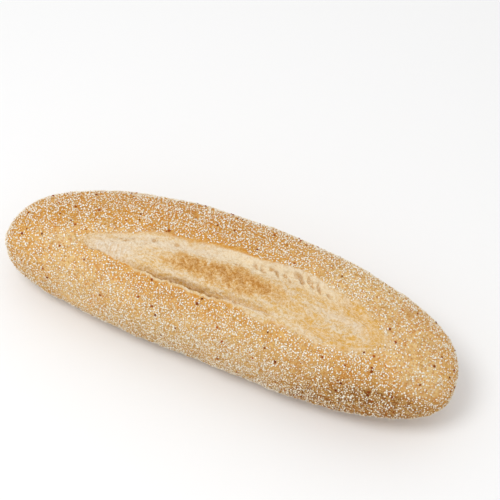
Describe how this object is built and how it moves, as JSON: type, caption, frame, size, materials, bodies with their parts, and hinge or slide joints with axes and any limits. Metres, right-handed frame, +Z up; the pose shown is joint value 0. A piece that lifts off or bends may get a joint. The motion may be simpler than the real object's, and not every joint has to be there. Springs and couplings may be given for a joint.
{
  "type": "bread baton",
  "caption": "Crusty bread baton, short and thick, rolled in coarse semolina and opened along the top by a long cut.",
  "frame": {"origin": "middle of the loaf's bounding box, on the surface it lies on", "axes": "+X along the loaf towards its wider, rounder end; +Z up, through the cut; +Y towards the loaf's bowed side, away from the side where the cut's lip stands up"},
  "size_m": [0.27, 0.0952, 0.0609],
  "materials": {
    "crust": "matte"
  },
  "bodies": {
    "root": {"baton": "crust"}
  },
  "joints": []
}
